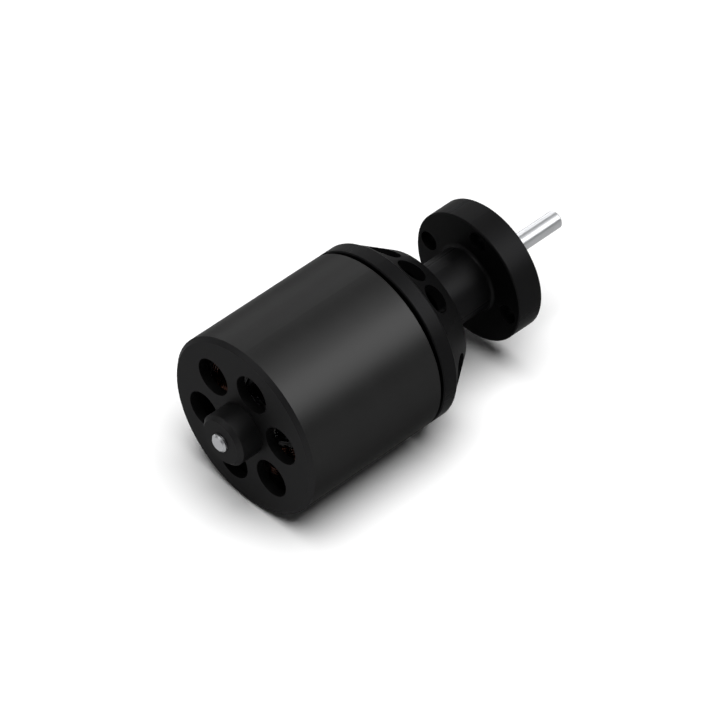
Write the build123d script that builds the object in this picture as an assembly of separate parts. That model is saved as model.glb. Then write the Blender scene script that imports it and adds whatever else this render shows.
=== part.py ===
from build123d import *
import os
from math import asin, atan2, cos, degrees, radians, sin, tan

# An outrunner brushless motor lying on its side. The shaft runs along X, +X is the drive end,
# +Z is up, and the origin is the centre of the flange's mounting face. Millimetres throughout.

# Mount housing, from the drive end back to the can
bolt_circle = 29.0
bolt_hole_diameter = 5.5
bolt_count = 4
bolt_angle = 12.0
flange_land = 1.25
flange_thickness = 8.0
neck_diameter = 18.0
neck_length = 17.75
neck_fillet = 1.0
cone_length = 10.25
cone_small_diameter = 35.0
cone_hole_diameter = 8.2
cone_hole_setback = 3.95
cone_hole_web = 1.26
cone_holes_per_group = 6
cone_hole_groups = 2
cone_group_angle = 64.0
ring_step = 0.4
ring_length = 4.6
housing_wall = 2.6
edge_break = 0.3

# Rotor: can, end bell and boss
running_gap = 1.0
can_length = 43.85
can_chamfer = 1.1
flux_wall = 2.4
bell_plate = 2.6
bell_hole_diameter = 10.5
bell_hole_count = 6
bell_hole_angle = 44.5
bell_hole_land = 0.53
spigot_depth = 2.0
spigot_wall = 2.4
boss_diameter = 14.4
boss_height = 7.2
boss_chamfer = 1.1
hub_diameter = 12.0
hub_depth = 1.4
magnet_count = 14
magnet_thickness = 2.2
magnet_overhang = 2.0
magnet_cover = 0.86
air_gap = 0.4

# Shaft and what holds it
shaft_diameter = 5.0
shaft_stub = 1.0
shaft_reach = 23.7
shaft_chamfer = 0.5
flat_depth = 0.35
flat_length = 4.5
spacer_length = 2.0
spacer_wall = 1.25
washer_thickness = 0.2
washer_wall = 1.2
clip_thickness = 0.7
clip_groove_depth = 0.3
clip_diameter = 8.4
clip_opening = 3.6
clip_notch = 0.6
clip_notch_angles = (120.0, 240.0)
screw_diameter = 3.0
screw_length = 3.6
screw_socket = 1.5
screw_socket_depth = 1.6
screw_angles = (-10.0, -100.0)

# Bearings, 5 by 13 by 4
bearing_diameter = 13.0
bearing_width = 4.0
ball_diameter = 2.0
ball_count = 8
race_depth = 0.35
cage_thickness = 0.6
cage_width = 2.6
shield_thickness = 0.2
shield_inset = 0.1
shield_rebate = 0.5
bearing_recess = 2.0
bearing_shoulder = 1.0

# Stator, from the bearing tube out
tube_wall = 1.5
seat_step = 1.2
yoke_land = 1.3
slot_count = 12
slot_depth = 8.27
slot_opening = 1.8
tooth_width = 3.4
tip_depth = 1.2
mouth_setback = 7.4
bell_setback = 7.85
insulator_thickness = 0.8
insulator_lip = 2.2
insulator_lip_wall = 0.8
lip_gap = 3.6
coil_overhang = 2.0
coil_corner = 1.4
coil_gap = 0.5

# Clearances
fit = 0.02
glue_line = 0.03
race_clearance = 0.04
pocket_clearance = 0.06
shield_clearance = 0.12
coil_clearance = 0.2
overcut = 1.0

# Radii, from the shaft out
shaft_radius = shaft_diameter / 2
bearing_radius = bearing_diameter / 2
relief_radius = bearing_radius - bearing_shoulder
tube_radius = bearing_radius + tube_wall
seat_radius = tube_radius + seat_step
yoke_radius = seat_radius + yoke_land
slot_top_radius = yoke_radius + slot_depth
stator_radius = slot_top_radius + tip_depth
magnet_inner = stator_radius + air_gap
magnet_outer = magnet_inner + magnet_thickness
flux_bore = magnet_outer + glue_line
can_radius = flux_bore + flux_wall
cone_large_radius = can_radius - ring_step
cone_small_radius = cone_small_diameter / 2
neck_radius = neck_diameter / 2
flange_radius = (bolt_circle + bolt_hole_diameter) / 2 + flange_land
spigot_radius = flux_bore - fit
spigot_bore = spigot_radius - spigot_wall
bell_hole_circle = 2 * (spigot_bore - bell_hole_land) - bell_hole_diameter
ball_radius = ball_diameter / 2
ball_circle_radius = (shaft_radius + bearing_radius) / 2
inner_land = ball_circle_radius - ball_radius + race_depth
outer_land = ball_circle_radius + ball_radius - race_depth

# Places along the shaft
flange_back = -flange_thickness
cone_small_x = flange_back - neck_length
cone_large_x = cone_small_x - cone_length
ring_mouth = cone_large_x - ring_length
can_mouth = ring_mouth - running_gap
bell_face = can_mouth - can_length
bell_shoulder = bell_face + can_chamfer
plate_inside = bell_face + bell_plate
hub_end = plate_inside + hub_depth
boss_face = bell_face - boss_height
tube_end = hub_end + spacer_length
drive_bearing_end = -bearing_recess
bell_bearing = tube_end
drive_bearing = drive_bearing_end - bearing_width
clip_x = drive_bearing_end + washer_thickness
stack_drive_end = can_mouth - mouth_setback
stack_bell_end = plate_inside + bell_setback
stack_length = stack_drive_end - stack_bell_end
stack_middle = (stack_drive_end + stack_bell_end) / 2


def turned(outline):
    """Solid of revolution about X from its (x, radius) corners."""
    corners = [(x, 0, radius) for x, radius in outline]
    return revolve(make_face(Polyline(*corners, close=True)), Axis.X)


def sleeve(start, end, inner, outer):
    """Plain tube about X."""
    return turned([(start, inner), (end, inner), (end, outer), (start, outer)])


def around(radius, angle):
    """Y and Z of a point on a circle about the shaft, with the angle from +Y towards +Z."""
    return radius * cos(radians(angle)), radius * sin(radians(angle))


def drilled(start, end, circle, diameter, count, first):
    """Round bars parallel to the shaft, to cut a circle of holes."""
    bars = []
    for i in range(count):
        y, z = around(circle / 2, first + i * 360 / count)
        bars.append(Pos(start, y, z) * extrude(Plane.YZ * Circle(diameter / 2), end - start))
    return bars


# Mount housing: ring, vented cone, neck, flange and bearing tube turned from one bar

def cone_radius(x):
    """Outside radius of the cone at x."""
    share = (x - cone_large_x) / cone_length
    return cone_large_radius + share * (cone_small_radius - cone_large_radius)


def make_mount_housing():
    slope = (cone_large_radius - cone_small_radius) / cone_length
    lean = atan2(slope, 1)
    wall_drop = housing_wall / cos(lean)
    cavity_radius = can_radius - housing_wall
    cavity_end = cone_small_x - housing_wall
    cavity_cone_start = cone_large_x + (cone_large_radius - wall_drop - cavity_radius) / slope
    bearing_seat = bearing_radius + fit
    bell_seat = bell_bearing + bearing_width
    body = turned([
        (0, bearing_seat),
        (0, flange_radius - edge_break),
        (-edge_break, flange_radius),
        (flange_back + edge_break, flange_radius),
        (flange_back, flange_radius - edge_break),
        (flange_back, neck_radius),
        (cone_small_x, neck_radius),
        (cone_small_x, cone_small_radius),
        (cone_large_x, cone_large_radius),
        (cone_large_x - ring_step, can_radius),
        (ring_mouth + edge_break, can_radius),
        (ring_mouth, can_radius - edge_break),
        (ring_mouth, cavity_radius),
        (cavity_cone_start, cavity_radius),
        (cavity_end, cone_radius(cavity_end) - wall_drop),
        (cavity_end, seat_radius),
        (stack_drive_end, seat_radius),
        (stack_drive_end, tube_radius),
        (tube_end, tube_radius),
        (tube_end, bearing_seat),
        (bell_seat, bearing_seat),
        (bell_seat, relief_radius),
        (drive_bearing, relief_radius),
        (drive_bearing, bearing_seat),
    ])
    roots = [
        edge for edge in body.edges().filter_by(GeomType.CIRCLE)
        if abs(edge.radius - neck_radius) < fit and cone_small_x - fit < edge.center().X < flange_back + fit
    ]
    body = fillet(roots, neck_fillet)
    body -= drilled(flange_back - overcut, overcut, bolt_circle, bolt_hole_diameter, bolt_count, bolt_angle)
    hole_x = cone_large_x + cone_hole_setback
    hole_spacing = cone_hole_diameter + cone_hole_web
    pitch = 2 * degrees(asin(hole_spacing / 2 / cone_radius(hole_x)))
    drill_depth = housing_wall + overcut
    drills = []
    for group in range(cone_hole_groups):
        for i in range(cone_holes_per_group):
            middle = cone_group_angle + group * 360 / cone_hole_groups
            angle = middle + (i - (cone_holes_per_group - 1) / 2) * pitch
            y, z = around(cone_radius(hole_x), angle)
            out_y, out_z = around(cos(lean), angle)
            square = Plane(origin=(hole_x, y, z), x_dir=(0, -out_z, out_y), z_dir=(sin(lean), out_y, out_z))
            drills.append(extrude(square * Circle(cone_hole_diameter / 2), drill_depth, both=True))
    return body - drills


# Rotor: chamfered end bell on a spigot, flux ring, magnets, shaft and its fastenings

def make_end_bell():
    boss_radius = boss_diameter / 2
    bore = shaft_radius + fit
    spigot_end = plate_inside + spigot_depth
    body = turned([
        (boss_face, bore),
        (boss_face, boss_radius - boss_chamfer),
        (boss_face + boss_chamfer, boss_radius),
        (bell_face, boss_radius),
        (bell_face, can_radius - can_chamfer),
        (bell_shoulder, can_radius),
        (bell_shoulder, spigot_radius),
        (spigot_end, spigot_radius),
        (spigot_end, spigot_bore),
        (plate_inside, spigot_bore),
        (plate_inside, hub_diameter / 2),
        (hub_end, hub_diameter / 2),
        (hub_end, bore),
    ])
    body -= drilled(bell_face - overcut, plate_inside + overcut, bell_hole_circle, bell_hole_diameter,
                    bell_hole_count, bell_hole_angle)
    for angle in screw_angles:
        body -= extrude(screw_plane(angle, 0) * Circle(screw_diameter / 2 + fit), boss_diameter)
    return body


def screw_plane(angle, radius):
    """Plane square to a grub screw, at a radius from the shaft's axis."""
    y, z = around(radius, angle)
    out_y, out_z = around(1, angle)
    return Plane(origin=(bell_face - boss_height / 2, y, z), x_dir=(1, 0, 0), z_dir=(0, out_y, out_z))


def make_grub_screws():
    seat = shaft_radius - flat_depth + fit
    screws = []
    for angle in screw_angles:
        screw = extrude(screw_plane(angle, seat) * Circle(screw_diameter / 2), screw_length)
        socket_floor = screw_plane(angle, seat + screw_length - screw_socket_depth)
        hexagon = RegularPolygon(screw_socket / 2, 6, major_radius=False)
        screws.append(screw - extrude(socket_floor * hexagon, screw_socket_depth))
    return screws


def make_flux_ring():
    return turned([
        (bell_shoulder, flux_bore),
        (bell_shoulder, can_radius),
        (can_mouth - edge_break, can_radius),
        (can_mouth, can_radius - edge_break),
        (can_mouth, flux_bore),
    ])


def make_magnets():
    spread = 360 / magnet_count * magnet_cover
    start = stack_bell_end - magnet_overhang
    end = stack_drive_end + magnet_overhang
    section = make_face(Polyline(
        (start, 0, magnet_inner),
        (end, 0, magnet_inner),
        (end, 0, magnet_outer),
        (start, 0, magnet_outer),
        close=True,
    ))
    magnet = revolve(section, Axis.X, spread)
    return [Rot(X=i * 360 / magnet_count) * magnet for i in range(magnet_count)]


def make_shaft():
    start = boss_face - shaft_stub
    groove_radius = shaft_radius - clip_groove_depth
    clip_end = clip_x + clip_thickness
    shaft = turned([
        (start, 0),
        (start, shaft_radius - shaft_chamfer),
        (start + shaft_chamfer, shaft_radius),
        (clip_x, shaft_radius),
        (clip_x, groove_radius),
        (clip_end, groove_radius),
        (clip_end, shaft_radius),
        (shaft_reach - shaft_chamfer, shaft_radius),
        (shaft_reach, shaft_radius - shaft_chamfer),
        (shaft_reach, 0),
    ])
    for angle in screw_angles:
        flat = screw_plane(angle, shaft_radius - flat_depth) * Rectangle(flat_length, shaft_diameter)
        shaft -= extrude(flat, shaft_radius)
    return shaft


def make_spacer():
    bore = shaft_radius + fit
    return sleeve(hub_end, tube_end, bore, bore + spacer_wall)


def make_thrust_washer():
    bore = shaft_radius + fit
    return sleeve(drive_bearing_end, clip_x, bore, bore + washer_wall)


def make_circlip():
    grip = shaft_radius - clip_groove_depth + fit
    face = Circle(clip_diameter / 2) - Circle(grip)
    face -= Pos(clip_diameter / 2, 0) * Rectangle(clip_diameter, clip_opening)
    for angle in clip_notch_angles:
        face -= Pos(*around(grip, angle)) * Circle(clip_notch)
    return extrude(Plane.YZ.offset(clip_x) * face, clip_thickness)


# Ball bearings: two rings, balls in a pressed cage, and a shield on each side

def ball_places(middle):
    """Centres of the balls in a bearing whose middle lies at x."""
    return [(middle, *around(ball_circle_radius, i * 360 / ball_count)) for i in range(ball_count)]


def race(middle):
    return Plane.YZ.offset(middle) * Torus(ball_circle_radius, ball_radius + race_clearance)


def make_inner_ring(start):
    ring = sleeve(start, start + bearing_width, shaft_radius + fit, inner_land)
    return ring - race(start + bearing_width / 2)


def make_outer_ring(start):
    end = start + bearing_width
    inset = shield_inset + shield_thickness
    ring = turned([
        (start, outer_land + shield_rebate),
        (start + inset, outer_land + shield_rebate),
        (start + inset, outer_land),
        (end - inset, outer_land),
        (end - inset, outer_land + shield_rebate),
        (end, outer_land + shield_rebate),
        (end, bearing_radius),
        (start, bearing_radius),
    ])
    return ring - race(start + bearing_width / 2)


def make_shields(start):
    inner = inner_land + shield_clearance
    outer = outer_land + shield_rebate - fit
    near = start + shield_inset
    far = start + bearing_width - shield_inset
    return [
        sleeve(near, near + shield_thickness, inner, outer),
        sleeve(far - shield_thickness, far, inner, outer),
    ]


def make_balls(start):
    middle = start + bearing_width / 2
    return [Pos(*place) * Sphere(ball_radius) for place in ball_places(middle)]


def make_cage(start):
    middle = start + bearing_width / 2
    cage = sleeve(middle - cage_width / 2, middle + cage_width / 2,
                  ball_circle_radius - cage_thickness / 2, ball_circle_radius + cage_thickness / 2)
    for place in ball_places(middle):
        cage -= Pos(*place) * Sphere(ball_radius + pocket_clearance)
    return cage


# Wound stator: laminated core, an insulator on each end, and a coil round every tooth

def tooth_angle(i):
    return (i + 0.5) * 360 / slot_count


def lamination(bore_radius):
    """Outline of one lamination in the YZ plane."""
    tips = Circle(stator_radius) - Circle(slot_top_radius)
    for i in range(slot_count):
        slot = Rectangle(stator_radius, slot_opening, align=(Align.MIN, Align.CENTER))
        tips -= Rot(Z=i * 360 / slot_count) * Pos(yoke_radius, 0) * slot
    face = Circle(yoke_radius) + tips
    reach = stator_radius - tip_depth / 2
    for i in range(slot_count):
        tooth = Rectangle(reach, tooth_width, align=(Align.MIN, Align.CENTER))
        face += Rot(Z=tooth_angle(i)) * tooth
    return face - Circle(bore_radius)


def make_stator_core():
    return extrude(Plane.YZ.offset(stack_bell_end) * lamination(tube_radius + fit), stack_length)


def make_insulator(stack_face, direction):
    """End insulator: a plate the shape of a lamination, and a lip that keeps each coil in."""
    bore = seat_radius + coil_clearance
    plate = extrude(Plane.YZ.offset(stack_face) * lamination(bore), direction * insulator_thickness)
    lip_outer = stator_radius - coil_clearance
    lip = Circle(lip_outer) - Circle(lip_outer - insulator_lip_wall)
    for i in range(slot_count):
        opening = Rectangle(stator_radius, lip_gap, align=(Align.MIN, Align.CENTER))
        lip -= Rot(Z=i * 360 / slot_count) * opening
    lip_height = insulator_thickness + insulator_lip
    return plate + extrude(Plane.YZ.offset(stack_face) * lip, direction * lip_height)


def make_coil(i):
    """One tooth's winding: a bundle of turns whose sides run along the middle of its two slots."""
    angle = tooth_angle(i)
    half_slot = 180 / slot_count
    foot = yoke_radius + coil_clearance
    top = slot_top_radius - coil_clearance
    y, z = around(foot, angle)
    out_y, out_z = around(1, angle)
    plane = Plane(origin=(stack_middle, y, z), x_dir=(1, 0, 0), z_dir=(0, out_y, out_z))
    window_length = stack_length + 2 * (insulator_thickness + coil_clearance)
    window_width = tooth_width + 2 * coil_clearance
    coil_width = 2 * foot * tan(radians(half_slot)) - coil_gap
    outside = RectangleRounded(window_length + 2 * coil_overhang, coil_width, coil_corner)
    bundle = extrude(plane * outside, top - foot, taper=-half_slot)
    bundle &= Plane.YZ.offset(stack_middle) * Cylinder(top, 2 * stack_length)
    return bundle - extrude(plane * Rectangle(window_length, window_width), top - foot)


# The winding pattern round the twelve teeth, by phase
phase_order = "AABBCCAABBCC"


def phase_coils(phase):
    return [make_coil(i) for i in range(slot_count) if phase_order[i % len(phase_order)] == phase]


nodes = {
    "mount_housing": make_mount_housing(),
    "stator_core": make_stator_core(),
    "drive_end_insulator": make_insulator(stack_drive_end, 1),
    "bell_end_insulator": make_insulator(stack_bell_end, -1),
    "phase_a_coils": phase_coils("A"),
    "phase_b_coils": phase_coils("B"),
    "phase_c_coils": phase_coils("C"),
    "bell_bearing_outer_ring": make_outer_ring(bell_bearing),
    "bell_bearing_shields": make_shields(bell_bearing),
    "bell_bearing_balls": make_balls(bell_bearing),
    "bell_bearing_cage": make_cage(bell_bearing),
    "bell_bearing_inner_ring": make_inner_ring(bell_bearing),
    "drive_bearing_outer_ring": make_outer_ring(drive_bearing),
    "drive_bearing_shields": make_shields(drive_bearing),
    "drive_bearing_balls": make_balls(drive_bearing),
    "drive_bearing_cage": make_cage(drive_bearing),
    "drive_bearing_inner_ring": make_inner_ring(drive_bearing),
    "end_bell": make_end_bell(),
    "flux_ring": make_flux_ring(),
    "magnets": make_magnets(),
    "shaft": make_shaft(),
    "bell_grub_screws": make_grub_screws(),
    "bell_spacer": make_spacer(),
    "thrust_washer": make_thrust_washer(),
    "shaft_circlip": make_circlip(),
}

os.makedirs("parts", exist_ok=True)
for name, piece in nodes.items():
    if isinstance(piece, list):
        piece = Compound([solid for item in piece for solid in item.solids()])
    export_step(piece, f"parts/{name}.step")
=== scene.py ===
from math import cos, pi, radians, sin, tan

import bmesh
import bpy
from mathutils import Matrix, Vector


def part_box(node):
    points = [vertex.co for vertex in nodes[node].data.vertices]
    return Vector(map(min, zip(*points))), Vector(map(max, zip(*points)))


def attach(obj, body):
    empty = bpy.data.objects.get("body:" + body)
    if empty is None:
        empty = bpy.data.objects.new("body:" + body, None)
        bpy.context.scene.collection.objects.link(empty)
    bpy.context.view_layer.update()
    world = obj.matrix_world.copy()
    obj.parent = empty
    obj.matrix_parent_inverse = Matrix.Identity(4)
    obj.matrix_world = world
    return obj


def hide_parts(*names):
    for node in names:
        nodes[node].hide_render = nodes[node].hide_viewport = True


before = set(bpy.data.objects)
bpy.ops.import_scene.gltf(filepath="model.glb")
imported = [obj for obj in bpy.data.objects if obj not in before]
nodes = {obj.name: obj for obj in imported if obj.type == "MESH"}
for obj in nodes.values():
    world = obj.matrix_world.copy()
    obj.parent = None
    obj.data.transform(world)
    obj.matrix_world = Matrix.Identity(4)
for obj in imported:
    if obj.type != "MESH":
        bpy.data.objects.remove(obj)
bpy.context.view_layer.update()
mm = 0.001


# Mount housing
# The still half of the motor: ring, vented cone, neck, flange and bearing tube turned from one
# bar of aluminium, then dyed black in the anodising bath. It is bolted down by its flange.

def linear(hex_code):
    """An sRGB hex colour as the linear colour that a shader socket takes."""
    channels = [int(hex_code[i:i + 2], 16) / 255 for i in (1, 3, 5)]
    return (*[c / 12.92 if c <= 0.04045 else ((c + 0.055) / 1.055) ** 2.4 for c in channels], 1)


def add(tree, kind, sockets=None, **settings):
    """Adds a node with its settings. A socket takes a plain value, another node or its output."""
    node = tree.nodes.new(kind)
    for name, value in settings.items():
        setattr(node, name, value)
    for name, value in (sockets or {}).items():
        if isinstance(value, bpy.types.Node):
            value = next(output for output in value.outputs if output.enabled)
        if isinstance(value, bpy.types.NodeSocket):
            tree.links.new(value, node.inputs[name])
        else:
            node.inputs[name].default_value = value
    return node


def new_material(name):
    """An empty material, with its node tree and the place on the piece that its patterns follow."""
    material = bpy.data.materials.new(name)
    material.use_nodes = True
    tree = material.node_tree
    tree.nodes.clear()
    return material, tree, add(tree, "ShaderNodeTexCoord").outputs["Object"]


def lathe_rings(tree, place, pitch):
    """Fine rings round the motor's axis, along a cylinder and across a face alike."""
    split = add(tree, "ShaderNodeSeparateXYZ", {"Vector": place}).outputs
    across = add(tree, "ShaderNodeCombineXYZ", {"Y": split["Y"], "Z": split["Z"]})
    radius = add(tree, "ShaderNodeVectorMath", {0: across}, operation="LENGTH").outputs["Value"]
    travel = add(tree, "ShaderNodeMath", {0: split["X"], 1: radius}, operation="ADD")
    return add(tree, "ShaderNodeTexNoise", {"W": travel, "Scale": 1 / pitch, "Detail": 1.0},
               noise_dimensions="1D")


def black_anodised_aluminium(name, dark, light):
    # Anodised aluminium, turned and then bead blasted: the dyed oxide is a deep neutral black that
    # dulls the metal's reflection to a soft satin sheen, over a fine grain and faint lathe rings.
    # Grain and rings are drawn coarser than the real ones, to show.
    material, tree, place = new_material(name)
    grain = add(tree, "ShaderNodeTexNoise", {
        "Vector": place, "Scale": 1 / (0.09 * mm), "Detail": 2.0})
    cloud = add(tree, "ShaderNodeTexNoise", {"Vector": place, "Scale": 1 / (6 * mm), "Detail": 2.0})
    dye = add(tree, "ShaderNodeMix", {
        "Factor": cloud, "A": linear(dark), "B": linear(light)}, data_type="RGBA")
    dull = add(tree, "ShaderNodeMapRange", {"Value": cloud, "To Min": 0.44, "To Max": 0.48})
    turned = add(tree, "ShaderNodeBump", {
        "Height": lathe_rings(tree, place, 0.3 * mm), "Strength": 0.25, "Distance": 0.004 * mm})
    blasted = add(tree, "ShaderNodeBump", {
        "Height": grain, "Strength": 0.3, "Distance": 0.005 * mm, "Normal": turned})
    finish = add(tree, "ShaderNodeBsdfPrincipled", {
        "Base Color": dye, "Metallic": 0.8, "Roughness": dull, "Specular IOR Level": 0.125,
        "Specular Tint": linear("#b1b1b1"), "Normal": blasted})
    add(tree, "ShaderNodeOutputMaterial", {"Surface": finish})
    return material


def dress(material, *names):
    """Gives CAD nodes a finish in place of their plain one."""
    for name in names:
        mesh = nodes[name].data
        mesh.materials.clear()
        mesh.materials.append(material)


dress(black_anodised_aluminium("black anodised housing", "#151516", "#181818"), "mount_housing")


# Stator core
# Twelve teeth on a yoke, stamped from half millimetre electrical steel and stacked, so its sides
# show the edge of every sheet. It is pressed onto the bearing tube and varnished against rust.

def stacked_laminations():
    # Electrical steel sheets: grey and slightly blue from the anneal, with a thin dark line of
    # varnish between each sheet and the next.
    material, tree, place = new_material("stacked electrical steel")
    sheet = 0.5 * mm
    along = add(tree, "ShaderNodeSeparateXYZ", {"Vector": place}).outputs["X"]
    count = add(tree, "ShaderNodeMath", {0: along, 1: sheet}, operation="DIVIDE")
    across_edge = add(tree, "ShaderNodeMath", {0: count, 1: 1.0}, operation="PINGPONG")
    steel_share = add(tree, "ShaderNodeMapRange", {
        "Value": across_edge, "From Min": 0.0, "From Max": 0.16}, interpolation_type="SMOOTHSTEP")
    stain = add(tree, "ShaderNodeTexNoise", {
        "Vector": place, "Scale": 1 / (1.5 * mm), "Detail": 2.0})
    steel = add(tree, "ShaderNodeMix", {
        "Factor": stain, "A": linear("#4c5157"), "B": linear("#62666a")}, data_type="RGBA")
    stack = add(tree, "ShaderNodeMix", {"Factor": steel_share, "A": linear("#1b1c1e"), "B": steel},
                data_type="RGBA")
    dull = add(tree, "ShaderNodeMapRange", {"Value": stain, "To Min": 0.38, "To Max": 0.55})
    grooves = add(tree, "ShaderNodeBump", {
        "Height": steel_share, "Strength": 0.8, "Distance": 0.03 * mm})
    finish = add(tree, "ShaderNodeBsdfPrincipled", {
        "Base Color": stack, "Metallic": 1.0, "Roughness": dull, "Normal": grooves})
    add(tree, "ShaderNodeOutputMaterial", {"Surface": finish})
    return material


dress(stacked_laminations(), "stator_core")


# End insulators
# A cap on each end of the stack, moulded in black glass-filled nylon. Its lip keeps the turns of
# each coil from slipping off the tooth, and its plate keeps them off the sharp sheet edges.

def glass_filled_nylon():
    # Glass-filled nylon: matt black with a faint sparkle of fibre ends and slow flow marks from
    # the mould.
    material, tree, place = new_material("glass-filled nylon")
    fibres = add(tree, "ShaderNodeTexNoise", {
        "Vector": place, "Scale": 1 / (0.12 * mm), "Detail": 4.0})
    flow = add(tree, "ShaderNodeTexNoise", {"Vector": place, "Scale": 1 / (3 * mm), "Detail": 2.0})
    black = add(tree, "ShaderNodeMix", {
        "Factor": fibres, "A": linear("#0d0d0e"), "B": linear("#161617")}, data_type="RGBA")
    dull = add(tree, "ShaderNodeMapRange", {"Value": flow, "To Min": 0.5, "To Max": 0.62})
    rough = add(tree, "ShaderNodeBump", {"Height": fibres, "Strength": 0.4, "Distance": 0.01 * mm})
    finish = add(tree, "ShaderNodeBsdfPrincipled", {
        "Base Color": black, "IOR": 1.53, "Roughness": dull, "Normal": rough})
    add(tree, "ShaderNodeOutputMaterial", {"Surface": finish})
    return material


dress(glass_filled_nylon(), "drive_end_insulator", "bell_end_insulator")


# Windings
# Enamelled copper wire wound round each tooth in three layers, fewer turns in each layer as the
# slot closes in. Four coils in series make a phase, and the three phases follow round the stack.

tooth_count = 12
coils_side_by_side = 2
phase_count = 3
wire = 0.72 * mm
wire_pitch = 0.75 * mm
layer_pitch = 0.70 * mm
end_bulge = 0.45 * mm
tooth_half_width = 1.9 * mm
coil_foot = 10.7 * mm
coil_top = 18.5 * mm
slot_half_gap = 0.25 * mm
layer_count = 3
corner_share = 0.82
corner_steps = 4
insulator_plate = 1.0 * mm
core_low, core_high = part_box("stator_core")
stack_middle = (core_low.x + core_high.x) / 2
window_half_length = (core_high.x - core_low.x) / 2 + insulator_plate


def layer_heights(layer):
    """Where a layer's turns lie along the tooth. It starts where the narrowing slot has room."""
    needed = tooth_half_width + (layer + 1) * layer_pitch + slot_half_gap
    start = max(coil_foot, needed / tan(pi / tooth_count)) + wire / 2
    top = coil_top - wire / 2
    turns = int((top - start) / wire_pitch) + 1
    heights = [top - i * wire_pitch for i in range(turns)]
    return heights if layer % 2 else heights[::-1]


def turn_points(layer, height, next_height):
    """One turn: a rounded rectangle round the tooth that steps to the next turn on its end."""
    half_x = window_half_length + wire / 2 + layer * (layer_pitch + end_bulge)
    half_z = tooth_half_width + wire / 2 + layer * layer_pitch
    corner = half_z * corner_share
    points = []
    for quarter in range(4):
        side_x = (1, -1, -1, 1)[quarter]
        side_z = (1, 1, -1, -1)[quarter]
        for step in range(corner_steps + 1):
            angle = pi / 2 * (quarter + step / corner_steps)
            x = side_x * (half_x - corner) + corner * cos(angle)
            z = side_z * (half_z - corner) + corner * sin(angle)
            share = step / corner_steps if quarter == 3 else 0
            points.append((stack_middle + x, height + share * (next_height - height), z))
    return points


def wire_path():
    """The whole wire of one coil, on a tooth that points along +Y."""
    points = []
    for layer in range(layer_count):
        heights = layer_heights(layer)
        for height, next_height in zip(heights, heights[1:] + heights[-1:]):
            points += turn_points(layer, height, next_height)
    return points


def enamelled_copper():
    # Enamelled copper wire: reddish metal under a clear hard varnish, browner where the varnish is
    # thick, with a sharp wet highlight along every turn. The copper is set very dark as painted
    # shade, for the dim inside of the motor where the coils sit.
    material, tree, place = new_material("enamelled copper")
    varnish = add(tree, "ShaderNodeTexNoise", {
        "Vector": place, "Scale": 1 / (2 * mm), "Detail": 2.0})
    fine = add(tree, "ShaderNodeTexNoise", {
        "Vector": place, "Scale": 1 / (0.3 * mm), "Detail": 2.0})
    # Painted shade: the copper is kept nearly black, for the dim inside of the motor.
    copper_darkened_as_painted_shade = add(tree, "ShaderNodeMix", {
        "Factor": varnish, "A": linear("#331609"), "B": linear("#43200f")}, data_type="RGBA")
    dull = add(tree, "ShaderNodeMapRange", {"Value": varnish, "To Min": 0.28, "To Max": 0.4})
    drawn = add(tree, "ShaderNodeBump", {"Height": fine, "Strength": 0.3, "Distance": 0.01 * mm})
    finish = add(tree, "ShaderNodeBsdfPrincipled", {
        "Base Color": copper_darkened_as_painted_shade, "Metallic": 1.0, "Roughness": dull, "Coat Weight": 0.4,
        "Coat Roughness": 0.2, "Normal": drawn})
    add(tree, "ShaderNodeOutputMaterial", {"Surface": finish})
    return material


def named_input(tree, name, kind, value):
    """A size or count that the geometry tree is given by name."""
    socket = tree.interface.new_socket(name, in_out="INPUT", socket_type=kind)
    socket.default_value = value


def winding_tree(material):
    """Turns a coil's wire path into round wire and sets it on the teeth of one phase."""
    tree = bpy.data.node_groups.new("winding", "GeometryNodeTree")
    tree.interface.new_socket("Geometry", in_out="INPUT", socket_type="NodeSocketGeometry")
    named_input(tree, "Wire Diameter", "NodeSocketFloat", wire)
    named_input(tree, "Teeth", "NodeSocketInt", tooth_count)
    named_input(tree, "Coils Side By Side", "NodeSocketInt", coils_side_by_side)
    named_input(tree, "Phases", "NodeSocketInt", phase_count)
    named_input(tree, "Phase", "NodeSocketInt", 0)
    tree.interface.new_socket("Geometry", in_out="OUTPUT", socket_type="NodeSocketGeometry")
    given = add(tree, "NodeGroupInput").outputs
    radius = add(tree, "ShaderNodeMath", {0: given["Wire Diameter"], 1: 0.5}, operation="MULTIPLY")
    section = add(tree, "GeometryNodeCurvePrimitiveCircle", {"Resolution": 8, "Radius": radius})
    path = add(tree, "GeometryNodeMeshToCurve", {"Mesh": given["Geometry"]})
    coil = add(tree, "GeometryNodeCurveToMesh", {
        "Curve": path, "Profile Curve": section, "Fill Caps": True})
    teeth = add(tree, "GeometryNodeMeshLine", {"Count": given["Teeth"], "Offset": (0, 0, 0)})
    tooth = add(tree, "GeometryNodeInputIndex")
    share = add(tree, "ShaderNodeMath", {
        0: tooth, 1: given["Coils Side By Side"]}, operation="DIVIDE")
    group = add(tree, "ShaderNodeMath", {0: share}, operation="FLOOR")
    owner = add(tree, "ShaderNodeMath", {0: group, 1: given["Phases"]}, operation="FLOORED_MODULO")
    chosen = add(tree, "FunctionNodeCompare", {0: owner, 1: given["Phase"], "Epsilon": 0.1},
                 data_type="FLOAT", operation="EQUAL")
    spacing = add(tree, "ShaderNodeMath", {0: 2 * pi, 1: given["Teeth"]}, operation="DIVIDE")
    middle = add(tree, "ShaderNodeMath", {0: tooth, 1: 0.5}, operation="ADD")
    angle = add(tree, "ShaderNodeMath", {0: middle, 1: spacing}, operation="MULTIPLY")
    turn = add(tree, "ShaderNodeCombineXYZ", {"X": angle})
    coils = add(tree, "GeometryNodeInstanceOnPoints", {
        "Points": teeth, "Selection": chosen, "Instance": coil, "Rotation": turn})
    wound = add(tree, "GeometryNodeRealizeInstances", {"Geometry": coils})
    dressed = add(tree, "GeometryNodeSetMaterial", {"Geometry": wound, "Material": material})
    add(tree, "NodeGroupOutput", {"Geometry": dressed})
    return tree


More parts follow.
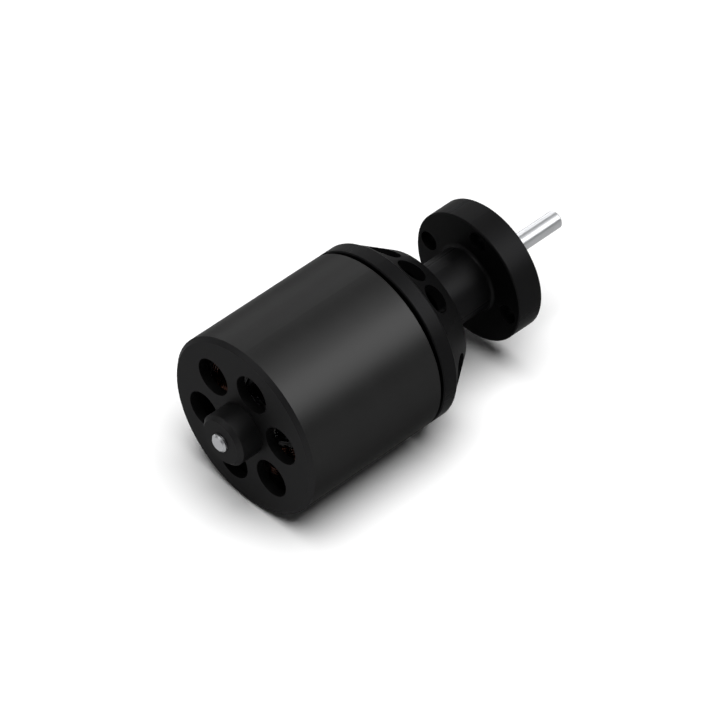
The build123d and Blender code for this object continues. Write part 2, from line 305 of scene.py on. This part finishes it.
def new_piece(name, data):
    """An object in the scene, at the origin, for a mesh, a lamp or a camera."""
    piece = bpy.data.objects.new(name, data)
    bpy.context.scene.collection.objects.link(piece)
    return piece


def settle(piece, tree, **values):
    """Runs a geometry tree on a piece and keeps the result as its plain mesh."""
    modifier = piece.modifiers.new("shape", "NODES")
    modifier.node_group = tree
    sockets = {item.name: item.identifier for item in tree.interface.items_tree
               if item.in_out == "INPUT"}
    for name, value in values.items():
        modifier[sockets[name.replace("_", " ")]] = value
    shaped = piece.evaluated_get(bpy.context.evaluated_depsgraph_get())
    mesh = bpy.data.meshes.new_from_object(shaped)
    piece.modifiers.clear()
    piece.data = mesh
    return piece


winding = winding_tree(enamelled_copper())
path_points = wire_path()
path_steps = [(i, i + 1) for i in range(len(path_points) - 1)]
for phase, letter in enumerate("abc"):
    path_mesh = bpy.data.meshes.new("wire_path")
    path_mesh.from_pydata(path_points, path_steps, [])
    windings = settle(new_piece(f"phase_{letter}_windings", path_mesh), winding, Phase=phase)
    windings.data.shade_smooth()
    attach(windings, "stator")
    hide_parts(f"phase_{letter}_coils")


# Ball bearings
# Two deep groove bearings, 5 by 13 by 4, of hardened chromium steel: ground rings, eight polished
# balls in a cage pressed from strip, and on each side a thin steel shield snapped into a rebate.

shield_inner = 3.97 * mm
shield_steps = 96


def bearing_metal(name, dark, light, smooth, dull):
    # Ground or pressed bearing steel: cool grey metal with a clear reflection, drawn out a little
    # round the ring by the grinding wheel or the press.
    material, tree, place = new_material(name)
    rings = lathe_rings(tree, place, 0.05 * mm)
    cloud = add(tree, "ShaderNodeTexNoise", {"Vector": place, "Scale": 1 / (1 * mm), "Detail": 2.0})
    steel = add(tree, "ShaderNodeMix", {"Factor": cloud, "A": linear(dark), "B": linear(light)},
                data_type="RGBA")
    sheen = add(tree, "ShaderNodeMapRange", {"Value": rings, "To Min": smooth, "To Max": dull})
    ground = add(tree, "ShaderNodeBump", {"Height": rings, "Strength": 0.2, "Distance": 0.002 * mm})
    finish = add(tree, "ShaderNodeBsdfPrincipled", {
        "Base Color": steel, "Metallic": 1.0, "Roughness": sheen, "Normal": ground})
    add(tree, "ShaderNodeOutputMaterial", {"Surface": finish})
    return material


def turned_piece(name, outline, steps):
    """A mesh turned about the motor's axis from the closed outline of its (x, radius) corners."""
    shape = bmesh.new()
    corners = [shape.verts.new((x, radius, 0)) for x, radius in outline]
    edges = [shape.edges.new((corners[i - 1], corners[i])) for i in range(len(corners))]
    bmesh.ops.spin(shape, geom=corners + edges, cent=(0, 0, 0), axis=(1, 0, 0), angle=2 * pi,
                   steps=steps, use_merge=True, use_duplicate=False)
    bmesh.ops.remove_doubles(shape, verts=shape.verts, dist=0.0005 * mm)
    bmesh.ops.recalc_face_normals(shape, faces=shape.faces)
    mesh = bpy.data.meshes.new(name)
    shape.to_mesh(mesh)
    shape.free()
    mesh.shade_smooth()
    mesh.set_sharp_from_angle(angle=radians(40))
    return new_piece(name, mesh)


def joined(name, pieces):
    """One piece from several, with their places kept in its mesh."""
    with bpy.context.temp_override(active_object=pieces[0], selected_editable_objects=pieces):
        bpy.ops.object.join()
    pieces[0].name = name
    return pieces[0]


def shield_outline(face, inward, outer):
    """A pressed shield: a rolled outer rim, a dished ring and an inner lip, in millimetres."""
    profile = [(0.00, outer / mm), (0.00, 5.28), (0.07, 5.12), (0.07, 4.36), (0.02, 4.20),
               (0.02, shield_inner / mm), (0.14, shield_inner / mm), (0.14, 4.16), (0.20, 4.32),
               (0.20, 5.18), (0.13, 5.34), (0.13, outer / mm)]
    return [(face + inward * depth * mm, radius * mm) for depth, radius in profile]


ground_steel = bearing_metal("ground bearing steel", "#a9acb0", "#c2c4c7", 0.14, 0.24)
dress(ground_steel, "bell_bearing_outer_ring", "bell_bearing_inner_ring",
      "drive_bearing_outer_ring", "drive_bearing_inner_ring", "bell_spacer", "thrust_washer")
polished_steel = bearing_metal("polished ball steel", "#c4c6c9", "#d2d4d6", 0.05, 0.09)
dress(polished_steel, "bell_bearing_balls", "drive_bearing_balls")
pressed_steel = bearing_metal("pressed strip steel", "#8e8c87", "#a19f99", 0.26, 0.38)
dress(pressed_steel, "bell_bearing_cage", "drive_bearing_cage")
for bearing in ("bell", "drive"):
    node = f"{bearing}_bearing_shields"
    low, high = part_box(node)
    outlines = [shield_outline(low.x, 1, high.z), shield_outline(high.x, -1, high.z)]
    pair = [turned_piece("shield", outline, shield_steps) for outline in outlines]
    shields = joined(f"{bearing}_bearing_pressed_shields", pair)
    shields.data.materials.append(pressed_steel)
    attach(shields, "stator")
    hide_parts(node)


# Shaft
# A 5 mm shaft of hardened steel, ground between centres. It runs through both bearings: its stub
# shows in the boss and its long end leaves the flange, with a small chamfer on each end.

def ground_shaft_steel():
    # Hardened steel, ground between centres: hair-fine rings round the shaft spread every lamp
    # along it into one soft white band. The rings are drawn coarser than real grinding, to show.
    material, tree, place = new_material("ground shaft steel")
    rings = lathe_rings(tree, place, 0.12 * mm)
    cloud = add(tree, "ShaderNodeTexNoise", {
        "Vector": place, "Scale": 1 / (2.5 * mm), "Detail": 2.0})
    steel = add(tree, "ShaderNodeMix", {
        "Factor": cloud, "A": linear("#a2a3a5"), "B": linear("#abacae")}, data_type="RGBA")
    sheen = add(tree, "ShaderNodeMapRange", {"Value": rings, "To Min": 0.37, "To Max": 0.41})
    ground = add(tree, "ShaderNodeBump", {
        "Height": rings, "Strength": 0.05, "Distance": 0.001 * mm})
    across = add(tree, "ShaderNodeVectorMath", {0: place, 1: (0, 1 / mm, 1 / mm), 2: (1, 0, 0)},
                 operation="MULTIPLY_ADD")
    grinding = add(tree, "ShaderNodeVectorTransform", {"Vector": across}, vector_type="VECTOR",
                   convert_from="OBJECT", convert_to="WORLD")
    finish = add(tree, "ShaderNodeBsdfPrincipled", {
        "Base Color": steel, "Metallic": 1.0, "Roughness": sheen, "Anisotropic": 0.4,
        "Tangent": grinding, "Normal": ground})
    add(tree, "ShaderNodeOutputMaterial", {"Surface": finish})
    return material


dress(ground_shaft_steel(), "shaft")


# Circlip
# A spring steel ring in the shaft's groove that holds the rotor's weight against the drive bearing
# through a thin washer. It is stamped, then phosphated nearly black.

def phosphated_spring_steel():
    # Phosphated spring steel: dark grey crystals that kill the shine but for a dull oily sheen.
    material, tree, place = new_material("phosphated spring steel")
    crystals = add(tree, "ShaderNodeTexNoise", {
        "Vector": place, "Scale": 1 / (0.06 * mm), "Detail": 3.0})
    coat = add(tree, "ShaderNodeMix", {
        "Factor": crystals, "A": linear("#2a2b2d"), "B": linear("#4a4b4d")}, data_type="RGBA")
    dull = add(tree, "ShaderNodeMapRange", {"Value": crystals, "To Min": 0.38, "To Max": 0.55})
    rough = add(tree, "ShaderNodeBump", {
        "Height": crystals, "Strength": 0.5, "Distance": 0.006 * mm})
    finish = add(tree, "ShaderNodeBsdfPrincipled", {
        "Base Color": coat, "Metallic": 1.0, "Roughness": dull, "Normal": rough})
    add(tree, "ShaderNodeOutputMaterial", {"Surface": finish})
    return material


dress(phosphated_spring_steel(), "shaft_circlip")


# Magnets
# Fourteen curved blocks of sintered neodymium iron boron inside the flux ring, north and south by
# turns, glued in place. Each is nickel plated, because the bare alloy rusts.

def nickel_plate():
    # Nickel plate: warm bright metal, a little cloudy over the rough sintered block beneath.
    material, tree, place = new_material("nickel plate")
    block = add(tree, "ShaderNodeTexNoise", {
        "Vector": place, "Scale": 1 / (0.4 * mm), "Detail": 3.0})
    plate = add(tree, "ShaderNodeMix", {
        "Factor": block, "A": linear("#6b6862"), "B": linear("#807d76")}, data_type="RGBA")
    dull = add(tree, "ShaderNodeMapRange", {"Value": block, "To Min": 0.3, "To Max": 0.42})
    rough = add(tree, "ShaderNodeBump", {"Height": block, "Strength": 0.3, "Distance": 0.01 * mm})
    finish = add(tree, "ShaderNodeBsdfPrincipled", {
        "Base Color": plate, "Metallic": 1.0, "Roughness": dull, "Normal": rough})
    add(tree, "ShaderNodeOutputMaterial", {"Surface": finish})
    return material


dress(nickel_plate(), "magnets")


# Flux ring
# The can that turns: a steel tube that closes the magnets' circuit, ground smooth outside and
# coated black. It sits on the end bell's spigot and is glued there.

def black_coated_steel():
    # Ground steel under a thin black coating: smoother and a little brighter than the anodised
    # parts, so a lamp draws a clear soft band along it. Its grain is drawn coarser, to show.
    material, tree, place = new_material("black coated steel")
    grain = add(tree, "ShaderNodeTexNoise", {
        "Vector": place, "Scale": 1 / (0.12 * mm), "Detail": 2.0})
    cloud = add(tree, "ShaderNodeTexNoise", {"Vector": place, "Scale": 1 / (8 * mm), "Detail": 2.0})
    coat = add(tree, "ShaderNodeMix", {
        "Factor": cloud, "A": linear("#292929"), "B": linear("#2d2d2d")}, data_type="RGBA")
    dull = add(tree, "ShaderNodeMapRange", {"Value": cloud, "To Min": 0.40, "To Max": 0.44})
    ground = add(tree, "ShaderNodeBump", {
        "Height": lathe_rings(tree, place, 0.25 * mm), "Strength": 0.2, "Distance": 0.003 * mm})
    coated = add(tree, "ShaderNodeBump", {
        "Height": grain, "Strength": 0.2, "Distance": 0.004 * mm, "Normal": ground})
    finish = add(tree, "ShaderNodeBsdfPrincipled", {
        "Base Color": coat, "Metallic": 1.0, "Roughness": dull, "Specular Tint": linear("#b1b1b1"),
        "Normal": coated})
    add(tree, "ShaderNodeOutputMaterial", {"Surface": finish})
    return material


dress(black_coated_steel(), "flux_ring")


# End bell
# The rotor's closed end, turned from aluminium and anodised black like the housing: six round
# vents, a chamfered rim, and a boss that two grub screws lock to flats on the shaft. Its black is
# set lighter than the housing's: painted light, standing in for the light its face catches.

# Painted light: the bell gets a lighter copy of the housing's black, for its brighter lit face.
dress(black_anodised_aluminium("black anodised bell lightened as painted light", "#252526", "#292929"), "end_bell")


# Grub screws
# Two hardened screws with hexagon sockets, black oxide finished, tightened onto the shaft's flats
# and held with thread lock.

def black_oxide_steel():
    # Black oxide on hardened steel: blue-black and slightly oily, greyer where the key has rubbed.
    material, tree, place = new_material("black oxide steel")
    patches = add(tree, "ShaderNodeTexNoise", {
        "Vector": place, "Scale": 1 / (0.25 * mm), "Detail": 3.0})
    oxide = add(tree, "ShaderNodeMix", {
        "Factor": patches, "A": linear("#191a1d"), "B": linear("#2f3135")}, data_type="RGBA")
    dull = add(tree, "ShaderNodeMapRange", {"Value": patches, "To Min": 0.32, "To Max": 0.45})
    rough = add(tree, "ShaderNodeBump", {
        "Height": patches, "Strength": 0.3, "Distance": 0.008 * mm})
    finish = add(tree, "ShaderNodeBsdfPrincipled", {
        "Base Color": oxide, "Metallic": 1.0, "Roughness": dull, "Normal": rough})
    add(tree, "ShaderNodeOutputMaterial", {"Surface": finish})
    return material


dress(black_oxide_steel(), "bell_grub_screws")


# Stage
# White paper under the motor, a large soft lamp above it and smaller ones round it. All of them
# leave the paper out: it has a lamp of its own, which lights nothing else and draws the shadow.

can_radius = 25 * mm
# How far out and how high above the table, in metres.
paper_profile = [(0.001, 0), (2.0, 0), (8.0, 0), (9.0, 0.1), (9.5, 0.35), (9.8, 0.85)]
paper_steps = 96
lamp_distance = 1.4
room_brightness = 0.05
aim = Vector((-56.24 * mm, -11.15 * mm, 11.43 * mm))
towards_object = Vector((0.4911, 0.5159, -0.7019)).normalized()
camera_distance = 1.202


def white_paper():
    # Matt white paper: no sheen, so it shows the soft shadow alone. The camera sees it a shade
    # lighter than what falls back on the motor. Out past the lamp's reach it is lifted to white
    # for the camera and the metal alone, and its turned-up rim stands behind low views.
    material, tree, place = new_material("white paper")
    fibres = add(tree, "ShaderNodeTexNoise", {
        "Vector": place, "Scale": 1 / (0.8 * mm), "Detail": 3.0})
    felted = add(tree, "ShaderNodeBump", {"Height": fibres, "Strength": 0.1, "Distance": 0.01 * mm})
    ray = add(tree, "ShaderNodeLightPath").outputs
    tone = add(tree, "ShaderNodeMix", {
        "Factor": ray["Is Camera Ray"], "A": linear("#dfdfdf"),
        "B": linear("#f8f8f8")}, data_type="RGBA")
    paper = add(tree, "ShaderNodeBsdfDiffuse", {"Color": tone, "Normal": felted})
    seen = add(tree, "ShaderNodeMath", {
        0: ray["Is Camera Ray"], 1: ray["Is Glossy Ray"]}, operation="ADD")
    shown = add(tree, "ShaderNodeMath", {0: seen, 1: ray["Is Transmission Ray"]}, operation="ADD",
                use_clamp=True)
    away = add(tree, "ShaderNodeVectorMath", {0: place}, operation="LENGTH").outputs["Value"]
    unlit_share = add(tree, "ShaderNodeMapRange", {
        "Value": away, "From Min": 0.3, "From Max": 1.65})
    lift = add(tree, "ShaderNodeMath", {0: shown, 1: unlit_share}, operation="MULTIPLY")
    glow = add(tree, "ShaderNodeEmission", {"Color": linear("#ffffff"), "Strength": lift})
    surface = add(tree, "ShaderNodeAddShader", {0: paper, 1: glow})
    add(tree, "ShaderNodeOutputMaterial", {"Surface": surface})
    return material


def softbox(name, direction, half_angle, brightness, lit):
    """A round soft lamp that faces the motor from a direction and lights what one collection says.
    Its half angle in degrees is how wide it looks from the motor. A brightness of 1 is white."""
    data = bpy.data.lights.new(name, "AREA")
    data.shape = "DISK"
    data.size = 2 * lamp_distance * tan(radians(half_angle))
    data.energy = brightness * pi ** 2 * data.size ** 2 / 4
    lamp = new_piece(name, data)
    towards_lamp = Vector(direction).normalized()
    lamp.location = aim + towards_lamp * lamp_distance
    lamp.rotation_euler = towards_lamp.to_track_quat("Z", "Y").to_euler()
    lamp.visible_camera = False
    lamp.light_linking.receiver_collection = lit


sheet = bmesh.new()
line = [sheet.verts.new((across, 0, height - can_radius)) for across, height in paper_profile]
edges = [sheet.edges.new(pair) for pair in zip(line, line[1:])]
bmesh.ops.spin(sheet, geom=line + edges, cent=(0, 0, 0), axis=(0, 0, 1), angle=2 * pi,
               steps=paper_steps, use_merge=True, use_duplicate=False)
bmesh.ops.recalc_face_normals(sheet, faces=sheet.faces)
floor_mesh = bpy.data.meshes.new("floor")
sheet.to_mesh(floor_mesh)
sheet.free()
floor_mesh.materials.append(white_paper())
floor = new_piece("floor", floor_mesh)

world = bpy.data.worlds.new("dim room")
world.use_nodes = True
world.node_tree.nodes["Background"].inputs["Color"].default_value = linear("#ffffff")
world.node_tree.nodes["Background"].inputs["Strength"].default_value = room_brightness
bpy.context.scene.world = world

paper_left_out = bpy.data.collections.new("paper_left_out")
paper_left_out.objects.link(floor)
paper_left_out.collection_objects[0].light_linking.link_state = "EXCLUDE"
paper_alone = bpy.data.collections.new("paper_alone")
paper_alone.objects.link(floor)
softbox("lamp_above", (0.087, -0.147, 0.985), 25.5, 3.34, lit=paper_left_out)
softbox("paper_lamp", (-0.04, -0.12, 0.99), 27.5, 6.1, lit=paper_alone)
softbox("ceiling", (0, 0, 1), 68, 0.094, lit=paper_left_out)
softbox("key_lamp", (0.525, -0.552, 0.648), 19.0, 5.5, lit=paper_left_out)
softbox("far_lamp", (0.618, 0.595, 0.514), 12.3, 4.72, lit=paper_left_out)
softbox("far_low_lamp", (0.419, 0.89, 0.179), 13.7, 4.54, lit=paper_left_out)
softbox("side_lamp", (0.066, 0.993, 0.097), 7.9, 11.3, lit=paper_left_out)
softbox("bell_lamp", (-0.888, 0.366, 0.279), 21.1, 1.8, lit=paper_left_out)

camera_data = bpy.data.cameras.new("camera")
camera_data.lens = 245.3
camera_data.sensor_width = 36
camera_data.clip_end = 20
camera = new_piece("camera", camera_data)
camera.location = aim - towards_object * camera_distance
camera.rotation_euler = towards_object.to_track_quat("-Z", "Y").to_euler()
bpy.context.scene.camera = camera
bpy.context.scene.view_settings.view_transform = "Standard"
